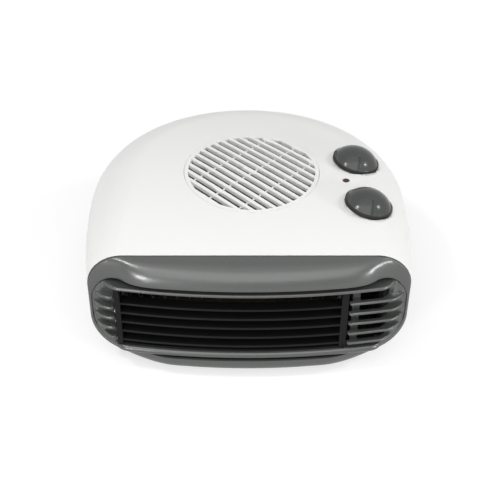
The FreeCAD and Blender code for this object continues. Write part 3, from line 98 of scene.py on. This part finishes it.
def new_group(name, inputs, outputs):
    """An empty shader group with named sockets: (name, socket type, default) in, (name, socket type) out."""
    group = bpy.data.node_groups.new(name, "ShaderNodeTree")
    for label, kind, default in inputs:
        socket = group.interface.new_socket(name=label, in_out="INPUT", socket_type=kind)
        if default is not None:
            socket.default_value = default
    for label, kind in outputs:
        group.interface.new_socket(name=label, in_out="OUTPUT", socket_type=kind)
    return group, group.nodes.new("NodeGroupInput"), group.nodes.new("NodeGroupOutput")


def add_group(tree, group):
    """A node that uses a shader group in a material's tree."""
    node = tree.nodes.new("ShaderNodeGroup")
    node.node_tree = group
    return node


def noise(tree, vector, scale, detail, roughness=0.5):
    node = tree.nodes.new("ShaderNodeTexNoise")
    node.inputs["Detail"].default_value = detail
    node.inputs["Roughness"].default_value = roughness
    tree.links.new(vector, node.inputs["Vector"])
    fill(tree, node.inputs["Scale"], scale)
    return node.outputs["Fac"]


def math_node(tree, operation, first, second):
    node = tree.nodes.new("ShaderNodeMath")
    node.operation = operation
    for socket, value in zip(node.inputs, (first, second)):
        fill(tree, socket, value)
    return node.outputs["Value"]


def spread(tree, value, source, target):
    """Map a value from one range to another, held to the new range."""
    node = tree.nodes.new("ShaderNodeMapRange")
    tree.links.new(value, node.inputs["Value"])
    for label, end in zip(("From Min", "From Max", "To Min", "To Max"), (*source, *target)):
        fill(tree, node.inputs[label], end)
    return node.outputs["Result"]


def mix_colours(tree, factor, first, second):
    """The first colour where the factor is 0, the second where it is 1."""
    node = tree.nodes.new("ShaderNodeMix")
    node.data_type = "RGBA"
    node.inputs["A"].default_value = (*first, 1.0)
    node.inputs["B"].default_value = (*second, 1.0)
    tree.links.new(factor, node.inputs["Factor"])
    return node.outputs["Result"]


def bump(tree, height, shader, strength, depth):
    node = tree.nodes.new("ShaderNodeBump")
    node.inputs["Strength"].default_value = strength
    node.inputs["Distance"].default_value = depth
    tree.links.new(height, node.inputs["Height"])
    tree.links.new(node.outputs["Normal"], shader.inputs["Normal"])


# Shader groups that several materials use

GRAIN_DETAIL = 2.0
WAVE_SCALE = 55.0
WAVE_DETAIL = 1.0
TONE_SCALE = 18.0
TONE_DETAIL = 4.0
TONE_ROUGHNESS = 0.6
SMEAR_SCALE = 70.0
SMEAR_DETAIL = 6.0
SMEAR_ROUGHNESS = 0.7
# Painted shade: a near-black colour laid where shade falls in gaps, with duller gloss there
PAINTED_SHADE_COLOUR = (0.010, 0.010, 0.010, 1.0)
PAINTED_SHADE_DULLNESS = 0.4


def moulded_group():
    """Moulded plastic: fine texture of the tool, slow waviness of the wall, a tone that wanders, smears."""
    group, inside, outside = new_group(
        "Moulded surface",
        [("Vector", "NodeSocketVector", None), ("Grain Scale", "NodeSocketFloat", 900.0),
         ("Grain", "NodeSocketFloat", 0.5), ("Wave", "NodeSocketFloat", 0.5)],
        [("Height", "NodeSocketFloat"), ("Tone", "NodeSocketFloat"), ("Smear", "NodeSocketFloat")])
    vector = inside.outputs["Vector"]
    grain = noise(group, vector, inside.outputs["Grain Scale"], GRAIN_DETAIL)
    wave = noise(group, vector, WAVE_SCALE, WAVE_DETAIL)
    grain_part = math_node(group, "MULTIPLY", grain, inside.outputs["Grain"])
    wave_part = math_node(group, "MULTIPLY", wave, inside.outputs["Wave"])
    tone = noise(group, vector, TONE_SCALE, TONE_DETAIL, TONE_ROUGHNESS)
    smear = noise(group, vector, SMEAR_SCALE, SMEAR_DETAIL, SMEAR_ROUGHNESS)
    group.links.new(math_node(group, "ADD", grain_part, wave_part), outside.inputs["Height"])
    group.links.new(tone, outside.inputs["Tone"])
    group.links.new(smear, outside.inputs["Smear"])
    return group


def painted_shade_group():
    """Painted shade over a plastic where a mask says so: it darkens the colour and dulls the gloss."""
    group, inside, outside = new_group(
        "Painted shade",
        [("Color", "NodeSocketColor", (0.5, 0.5, 0.5, 1.0)), ("Roughness", "NodeSocketFloat", 0.3),
         ("Mask", "NodeSocketFloat", 0.0)],
        [("Color", "NodeSocketColor"), ("Roughness", "NodeSocketFloat")])
    darkened = group.nodes.new("ShaderNodeMix")
    darkened.data_type = "RGBA"
    darkened.inputs["B"].default_value = PAINTED_SHADE_COLOUR
    group.links.new(inside.outputs["Mask"], darkened.inputs["Factor"])
    group.links.new(inside.outputs["Color"], darkened.inputs["A"])
    group.links.new(darkened.outputs["Result"], outside.inputs["Color"])
    dulled = math_node(group, "MULTIPLY", inside.outputs["Mask"], PAINTED_SHADE_DULLNESS)
    group.links.new(math_node(group, "ADD", inside.outputs["Roughness"], dulled), outside.inputs["Roughness"])
    return group


def reach_group():
    """A mask that grows with the distance from an axis along Z, between two distances."""
    group, inside, outside = new_group(
        "Reach from axis",
        [("Vector", "NodeSocketVector", None), ("Start", "NodeSocketFloat", 0.0),
         ("Full", "NodeSocketFloat", 1.0)],
        [("Mask", "NodeSocketFloat")])
    level = group.nodes.new("ShaderNodeVectorMath")
    level.operation = "MULTIPLY"
    level.inputs[1].default_value = (1.0, 1.0, 0.0)
    group.links.new(inside.outputs["Vector"], level.inputs[0])
    reach = group.nodes.new("ShaderNodeVectorMath")
    reach.operation = "LENGTH"
    group.links.new(level.outputs["Vector"], reach.inputs[0])
    between = (inside.outputs["Start"], inside.outputs["Full"])
    group.links.new(spread(group, reach.outputs["Value"], between, WHOLE), outside.inputs["Mask"])
    return group


MOULDED = moulded_group()
PAINTED_SHADE = painted_shade_group()
REACH = reach_group()


# Masks for painted shade between the louvres, round the foot of each knob and along the front seam, where
# shade falls

def reach_mask(tree, place, axis_point, turn, start, full):
    """The mask of a reach from an axis through a point, turned from upright."""
    local = tree.nodes.new("ShaderNodeMapping")
    local.vector_type = "TEXTURE"
    local.inputs["Location"].default_value = axis_point
    local.inputs["Rotation"].default_value = turn
    tree.links.new(place, local.inputs["Vector"])
    reach = add_group(tree, REACH)
    tree.links.new(local.outputs["Vector"], reach.inputs["Vector"])
    reach.inputs["Start"].default_value = start
    reach.inputs["Full"].default_value = full
    return reach.outputs["Mask"]


def between_louvres(tree, place):
    """Painted shade between the louvres, where shade falls: grows with the depth under the roof's arc."""
    return reach_mask(tree, place, (0.0, ROOF_AXIS_Y, ROOF_AXIS_Z), (0.0, QUARTER_TURN, 0.0),
                      ROOF_RADIUS - LOUVRE_SHADE_START, ROOF_RADIUS - LOUVRE_SHADE_FULL)


def selector_foot(tree, place):
    """Painted shade that grows round the foot of the front knob, for the shadow in the gap there."""
    return reach_mask(tree, place, SELECTOR_POINT, (0.0, SELECTOR_LEAN, 0.0), *KNOB_FOOT_SHADE)


def thermostat_foot(tree, place):
    """Painted shade that grows round the foot of the rear knob, for the shadow in the gap there."""
    return reach_mask(tree, place, THERMOSTAT_POINT, (0.0, THERMOSTAT_LEAN, 0.0), *KNOB_FOOT_SHADE)


def along_seam(tree, place):
    """Painted shade that grows towards the seam between the bezel and the hood, for the shadow line at the
    joint.
    """
    axes = tree.nodes.new("ShaderNodeSeparateXYZ")
    tree.links.new(place, axes.inputs["Vector"])
    return spread(tree, axes.outputs["Y"], SEAM_STRETCH, (0.0, SEAM_SHADE))


# Materials

STREAK_SCALE = 900.0
STREAK_DETAIL = 3.0
STREAK_ROUGHNESS = 0.6
STREAK_STRENGTH = 0.3
STREAK_DEPTH = 0.00002
FLAKE_SCALE = 420.0
FLAKE_TONE_SCALE = 300.0
FLAKE_MIDDLE = (0.35, 0.65)
FLAKE_ROUGH = (0.3, 0.65)
FLAKE_SHEEN = 0.15
FLAKE_STRENGTH = 0.3
FLAKE_DEPTH = 0.00005
LENS_CLARITY = 0.35
LENS_IOR = 1.49
LENS_GRAIN_SCALE = 500.0
LENS_ROUGH = (0.12, 0.22)
FINE_DETAIL = 2.0


def start_material(name):
    material = bpy.data.materials.new(name)
    material.use_nodes = True
    tree = material.node_tree
    shader = tree.nodes["Principled BSDF"]
    place = tree.nodes.new("ShaderNodeTexCoord").outputs["Object"]
    return material, tree, shader, place


def coat(tree, shader, colour, roughness):
    tree.links.new(colour, shader.inputs["Base Color"])
    tree.links.new(roughness, shader.inputs["Roughness"])


def plastic(name, light, shade, rough, grain_scale, grain, wave, depth, gloss=0.5, painted_shade_mask=None):
    """Moulded plastic between two close tones, with a roughness that wanders between two values.
    A mask, if given, says where shade is painted in, darker and duller."""
    material, tree, shader, place = start_material(name)
    shader.inputs["Specular IOR Level"].default_value = gloss
    surface = add_group(tree, MOULDED)
    tree.links.new(place, surface.inputs["Vector"])
    surface.inputs["Grain Scale"].default_value = grain_scale
    surface.inputs["Grain"].default_value = grain
    surface.inputs["Wave"].default_value = wave
    tone = spread(tree, surface.outputs["Tone"], NOISE_MIDDLE, WHOLE)
    colour = mix_colours(tree, tone, light, shade)
    roughness = spread(tree, surface.outputs["Smear"], NOISE_MIDDLE, rough)
    # Painted shade where the mask says: darker colour and duller gloss
    if painted_shade_mask is not None:
        painted_shade = add_group(tree, PAINTED_SHADE)
        tree.links.new(colour, painted_shade.inputs["Color"])
        tree.links.new(roughness, painted_shade.inputs["Roughness"])
        tree.links.new(painted_shade_mask(tree, place), painted_shade.inputs["Mask"])
        colour = painted_shade.outputs["Color"]
        roughness = painted_shade.outputs["Roughness"]
    coat(tree, shader, colour, roughness)
    bump(tree, surface.outputs["Height"], shader, 1.0, depth)
    return material


def metal(name, light, shade, rough, streak):
    """Metal with fine streaks, drawn out along the axes where the streak scale is small."""
    material, tree, shader, place = start_material(name)
    shader.inputs["Metallic"].default_value = 1.0
    mapping = tree.nodes.new("ShaderNodeMapping")
    mapping.inputs["Scale"].default_value = streak
    tree.links.new(place, mapping.inputs["Vector"])
    lines = noise(tree, mapping.outputs["Vector"], STREAK_SCALE, STREAK_DETAIL, STREAK_ROUGHNESS)
    colour = mix_colours(tree, spread(tree, lines, NOISE_MIDDLE, WHOLE), light, shade)
    coat(tree, shader, colour, spread(tree, lines, NOISE_MIDDLE, rough))
    bump(tree, lines, shader, STREAK_STRENGTH, STREAK_DEPTH)
    return material


def banded_metal(name, axis, scale, distortion, valley, crest, rough, metallic, strength, depth):
    """Sheets or turns of wire side by side along an axis, with one colour in valleys and one on crests."""
    material, tree, shader, place = start_material(name)
    shader.inputs["Metallic"].default_value = metallic
    wave = tree.nodes.new("ShaderNodeTexWave")
    wave.bands_direction = axis
    wave.inputs["Scale"].default_value = scale
    wave.inputs["Distortion"].default_value = distortion
    tree.links.new(place, wave.inputs["Vector"])
    bands = wave.outputs["Fac"]
    coat(tree, shader, mix_colours(tree, bands, valley, crest), spread(tree, bands, WHOLE, rough))
    bump(tree, bands, shader, strength, depth)
    return material


def mica_board(name, light, shade):
    """Layered mica: flakes of two tones with a dull sheen."""
    material, tree, shader, place = start_material(name)
    shader.inputs["Specular IOR Level"].default_value = FLAKE_SHEEN
    cells = tree.nodes.new("ShaderNodeTexVoronoi")
    cells.inputs["Scale"].default_value = FLAKE_SCALE
    tree.links.new(place, cells.inputs["Vector"])
    tone = noise(tree, cells.outputs["Position"], FLAKE_TONE_SCALE, FINE_DETAIL)
    flakes = spread(tree, tone, FLAKE_MIDDLE, WHOLE)
    coat(tree, shader, mix_colours(tree, flakes, light, shade), spread(tree, flakes, WHOLE, FLAKE_ROUGH))
    bump(tree, cells.outputs["Distance"], shader, FLAKE_STRENGTH, FLAKE_DEPTH)
    return material


def tinted_lens(name, light, shade):
    """Tinted plastic or glass that lets a little light through."""
    material, tree, shader, place = start_material(name)
    shader.inputs["Transmission Weight"].default_value = LENS_CLARITY
    shader.inputs["IOR"].default_value = LENS_IOR
    tint = spread(tree, noise(tree, place, LENS_GRAIN_SCALE, FINE_DETAIL), NOISE_MIDDLE, WHOLE)
    coat(tree, shader, mix_colours(tree, tint, light, shade), spread(tree, tint, WHOLE, LENS_ROUGH))
    return material


WHITE_PLASTIC = dict(light=(0.86, 0.86, 0.85), shade=(0.85, 0.85, 0.838), rough=(0.285, 0.33),
                     grain_scale=260.0, grain=0.3, wave=0.5, depth=0.000003)
GREY_PLASTIC = dict(light=(0.055, 0.059, 0.055), shade=(0.051, 0.054, 0.051), rough=(0.285, 0.31),
                    grain_scale=400.0, grain=0.4, wave=0.5, depth=0.000004, gloss=0.85)
KNOB_PLASTIC = dict(light=(0.056, 0.060, 0.057), shade=(0.050, 0.054, 0.051), rough=(0.16, 0.2),
                    grain_scale=1500.0, grain=0.2, wave=0.4, depth=0.000004, gloss=0.3)

# Finishes by material slot
FINISHES = {
    "white_plastic": plastic("White gloss plastic", **WHITE_PLASTIC),
    "dark_plastic": plastic(
        "Dark matte plastic", light=(0.045, 0.046, 0.047), shade=(0.036, 0.037, 0.038), rough=(0.48, 0.62),
        grain_scale=700.0, grain=0.8, wave=0.3, depth=0.00012),
    "black_plastic": plastic(
        "Black heat-proof plastic", light=(0.008, 0.008, 0.008), shade=(0.006, 0.006, 0.006),
        rough=(0.42, 0.55), grain_scale=900.0, grain=0.7, wave=0.3, depth=0.00003, gloss=0.12),
    "switch_plastic": plastic(
        "Dull black moulding", light=(0.03, 0.03, 0.03), shade=(0.022, 0.022, 0.023), rough=(0.5, 0.65),
        grain_scale=800.0, grain=0.7, wave=0.3, depth=0.0001),
    "nylon": plastic(
        "Dull grey moulding", light=(0.10, 0.10, 0.098), shade=(0.08, 0.08, 0.078), rough=(0.5, 0.65),
        grain_scale=800.0, grain=0.6, wave=0.4, depth=0.0001),
    "rubber": plastic(
        "Black rubber", light=(0.028, 0.028, 0.028), shade=(0.02, 0.02, 0.02), rough=(0.6, 0.8),
        grain_scale=1000.0, grain=0.8, wave=0.2, depth=0.00012),
    "porcelain": plastic(
        "Unglazed porcelain", light=(0.80, 0.78, 0.72), shade=(0.74, 0.72, 0.66), rough=(0.5, 0.7),
        grain_scale=900.0, grain=0.8, wave=0.2, depth=0.0001),
    "steel": metal(
        "Plated steel", light=(0.60, 0.60, 0.59), shade=(0.50, 0.50, 0.49), rough=(0.25, 0.42),
        streak=(1.0, 1.0, 0.1)),
    "brass": metal(
        "Stamped brass", light=(0.78, 0.58, 0.25), shade=(0.68, 0.49, 0.20), rough=(0.25, 0.4),
        streak=(0.1, 1.0, 1.0)),
    "bronze": metal(
        "Sintered bronze", light=(0.50, 0.36, 0.20), shade=(0.40, 0.28, 0.15), rough=(0.4, 0.6),
        streak=(1.0, 1.0, 1.0)),
    "resistance_alloy": metal(
        "Heat-tinted alloy", light=(0.07, 0.063, 0.057), shade=(0.045, 0.04, 0.037), rough=(0.5, 0.65),
        streak=(0.2, 1.0, 1.0)),
    "lamination": banded_metal(
        "Varnished steel sheets", axis="Z", scale=320.0, distortion=0.3, valley=(0.22, 0.22, 0.23),
        crest=(0.12, 0.12, 0.13), rough=(0.35, 0.6), metallic=0.6, strength=0.5, depth=0.0001),
    "copper": banded_metal(
        "Enamelled copper wire", axis="X", scale=400.0, distortion=0.6, valley=(0.35, 0.12, 0.05),
        crest=(0.70, 0.30, 0.13), rough=(0.5, 0.25), metallic=0.8, strength=0.8, depth=0.0002),
    "mica": mica_board("Mica board", light=(0.055, 0.046, 0.034), shade=(0.04, 0.033, 0.024)),
    "red_lens": tinted_lens("Red lens", light=(0.10, 0.012, 0.012), shade=(0.07, 0.008, 0.008)),
    "lamp_glass": tinted_lens("Lamp glass", light=(0.80, 0.78, 0.76), shade=(0.74, 0.72, 0.70)),
}

# Finishes of nodes that have their own painted shade
PAINTED_SHADE_FINISHES = {
    "inlet_grille": plastic("White louvre plastic", **WHITE_PLASTIC, painted_shade_mask=between_louvres),
    "front_bezel": plastic("Grey bezel plastic", **GREY_PLASTIC, painted_shade_mask=along_seam),
    "selector_knob": plastic("Selector knob plastic", **KNOB_PLASTIC, painted_shade_mask=selector_foot),
    "thermostat_knob": plastic("Thermostat knob plastic", **KNOB_PLASTIC, painted_shade_mask=thermostat_foot),
}

for name, node in nodes.items():
    node.data.materials.clear()
    node.data.materials.append(PAINTED_SHADE_FINISHES.get(name) or FINISHES[slot_of[name]])


# Pieces with curved faces, merged so that they shade as smooth curves

MERGE_DISTANCE = 0.000005
SMOOTH_ANGLE = math.radians(28.0)
SMOOTH_NODES = (
    "upper_housing", "inlet_grille", "lower_housing", "front_bezel", "outlet_grille",
    "selector_knob", "thermostat_knob", "indicator_lens", "impeller", "blower_scroll",
    "foot_front_right", "foot_front_left", "foot_back_right", "foot_back_left",
    "housing_screws", "cord_gland",
)
# How near the roof's arc a corner lies on it, and how far its facet may tilt from it
ROOF_REACH = 0.00001
ROOF_TILT = math.radians(10.0)
ROOF_NODES = ("upper_housing", "inlet_grille")


def smooth_piece(name):
    """A merged copy of a node that stands for it: smooth over its curves, sharp at its corners."""
    bpy.ops.object.select_all(action="DESELECT")
    piece = bpy.data.objects.new(name + "_moulding", nodes[name].data.copy())
    bpy.context.scene.collection.objects.link(piece)
    piece.select_set(True)
    bpy.context.view_layer.objects.active = piece
    bpy.ops.object.mode_set(mode="EDIT")
    bpy.ops.mesh.select_all(action="SELECT")
    bpy.ops.mesh.remove_doubles(threshold=MERGE_DISTANCE)
    bpy.ops.object.mode_set(mode="OBJECT")
    bpy.ops.object.shade_smooth_by_angle(angle=SMOOTH_ANGLE)
    bpy.ops.object.modifier_add(type="WEIGHTED_NORMAL")
    weighted = piece.modifiers[-1]
    weighted.keep_sharp = True
    bpy.ops.object.modifier_apply(modifier=weighted.name)
    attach(piece, body_of[name])
    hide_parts(name)
    return piece


def round_roof(mesh):
    """Give the corners that lie on the roof's arc the arc's own normals, so long facets leave no streaks."""
    normals = [corner.vector.copy() for corner in mesh.corner_normals]
    for facet in mesh.polygons:
        for corner in facet.loop_indices:
            place = mesh.vertices[mesh.loops[corner].vertex_index].co
            outward = Vector((0.0, place.y - ROOF_AXIS_Y, place.z - ROOF_AXIS_Z))
            on_arc = abs(outward.length - ROOF_RADIUS) < ROOF_REACH
            if on_arc and facet.normal.angle(outward, math.pi) < ROOF_TILT:
                normals[corner] = outward.normalized()
    mesh.normals_split_custom_set(normals)


pieces = {name: smooth_piece(name) for name in SMOOTH_NODES}
for name in ROOF_NODES:
    round_roof(pieces[name].data)


# Floor, light and camera

FLOOR_SIZE = 8.0
FLOOR_LIGHT = (0.48, 0.48, 0.48)
FLOOR_SHADE = (0.46, 0.46, 0.46)
FLOOR_SCALE = 3.0
FLOOR_ROUGHNESS = 0.9
FLOOR_GLOSS = 0.1
# The floor's own glow where it is seen: less near the heater, to keep its shadow, and more away from it
FLOOR_REACH = (0.2, 0.6)
FLOOR_LIFT = (0.62, 0.8)
WHITE = (1.0, 1.0, 1.0, 1.0)
WORLD_LIGHT = 0.25
WORLD_SEEN = 1.0

# Lamps: name, place, aim, width, height, watts. The panels overlap, so the band of light on the brow has soft
# edges. The low lamps light the brow's ends, and the left and right lamps leave the spots on the knobs
HOOD_AIM = (0.0, -0.05, 0.06)
BROW_AIM = (0.0, -0.1, 0.08)
LAMPS = (
    ("left_lamp", (-0.56, -0.33, 1.07), HOOD_AIM, 0.12, 0.12, 3.1),
    ("right_lamp", (0.96, -0.2, 0.85), HOOD_AIM, 0.12, 0.12, 2.6),
    ("low_left_lamp", (-0.64, -1.1, 0.32), BROW_AIM, 0.18, 0.18, 5.4),
    ("low_right_lamp", (1.05, -0.8, 0.3), BROW_AIM, 0.18, 0.18, 5.4),
    ("front_panel", (0.0, -1.1, 1.45), HOOD_AIM, 1.6, 1.4, 9.0),
    ("tall_panel", (0.0, -0.78, 1.69), HOOD_AIM, 1.6, 2.6, 6.2),
)

# The camera that fits the photograph
SENSOR = 36.0
FRAME_PIXELS = 500
FOCAL_PIXELS = 1000.3
CLIP_START = 0.01
CAMERA_PLACE = Vector((-0.00965, -0.666, 0.54339))
YAW = 0.0173
PITCH = math.radians(37.75)
ROLL = math.radians(0.6)


def seen(tree):
    """One for rays that show things: from the camera, off a gloss or through a clear piece."""
    rays = tree.nodes.new("ShaderNodeLightPath").outputs
    shown = math_node(tree, "ADD", rays["Is Camera Ray"], rays["Is Glossy Ray"])
    return math_node(tree, "ADD", shown, rays["Is Transmission Ray"])


def studio_floor():
    """A pale floor that takes the shadow and shows as white away from it."""
    bpy.ops.object.select_all(action="DESELECT")
    bpy.ops.mesh.primitive_plane_add(size=FLOOR_SIZE, location=ORIGIN)
    floor = bpy.context.object
    floor.name = "studio_floor"
    material, tree, shader, place = start_material("White studio floor")
    colour = mix_colours(tree, noise(tree, place, FLOOR_SCALE, FINE_DETAIL), FLOOR_LIGHT, FLOOR_SHADE)
    tree.links.new(colour, shader.inputs["Base Color"])
    shader.inputs["Roughness"].default_value = FLOOR_ROUGHNESS
    shader.inputs["Specular IOR Level"].default_value = FLOOR_GLOSS
    away = reach_mask(tree, place, ORIGIN, UPRIGHT, *FLOOR_REACH)
    lift = spread(tree, away, WHOLE, FLOOR_LIFT)
    glow = tree.nodes.new("ShaderNodeEmission")
    tree.links.new(math_node(tree, "MULTIPLY", seen(tree), lift), glow.inputs["Strength"])
    both = tree.nodes.new("ShaderNodeAddShader")
    tree.links.new(shader.outputs["BSDF"], both.inputs[0])
    tree.links.new(glow.outputs["Emission"], both.inputs[1])
    tree.links.new(both.outputs["Shader"], tree.nodes["Material Output"].inputs["Surface"])
    floor.data.materials.append(material)


def studio_world():
    """White surroundings: full white where they are seen, and a plain level as light."""
    world = bpy.data.worlds.new("White studio")
    bpy.context.scene.world = world
    world.use_nodes = True
    tree = world.node_tree
    background = tree.nodes["Background"]
    background.inputs["Color"].default_value = WHITE
    level = spread(tree, seen(tree), WHOLE, (WORLD_LIGHT, WORLD_SEEN))
    tree.links.new(level, background.inputs["Strength"])


def soft_box(name, place, aim, width, height, watts):
    light = bpy.data.lights.new(name, "AREA")
    light.shape = "RECTANGLE"
    light.size = width
    light.size_y = height
    light.energy = watts
    lamp = bpy.data.objects.new(name, light)
    bpy.context.scene.collection.objects.link(lamp)
    lamp.location = place
    lamp.rotation_euler = (Vector(aim) - Vector(place)).to_track_quat("-Z", "Y").to_euler()


def photo_camera():
    camera = bpy.data.cameras.new("photo_camera")
    camera.sensor_width = SENSOR
    camera.lens = SENSOR * FOCAL_PIXELS / FRAME_PIXELS
    camera.clip_start = CLIP_START
    item = bpy.data.objects.new("photo_camera", camera)
    bpy.context.scene.collection.objects.link(item)
    forward = Vector((math.sin(YAW) * math.cos(PITCH), math.cos(YAW) * math.cos(PITCH), -math.sin(PITCH)))
    turn = forward.to_track_quat("-Z", "Y").to_matrix().to_4x4()
    item.matrix_world = Matrix.Translation(CAMERA_PLACE) @ turn @ Matrix.Rotation(ROLL, 4, "Z")
    bpy.context.scene.camera = item


studio_floor()
studio_world()
for lamp in LAMPS:
    soft_box(*lamp)
photo_camera()
bpy.context.scene.view_settings.view_transform = "Standard"
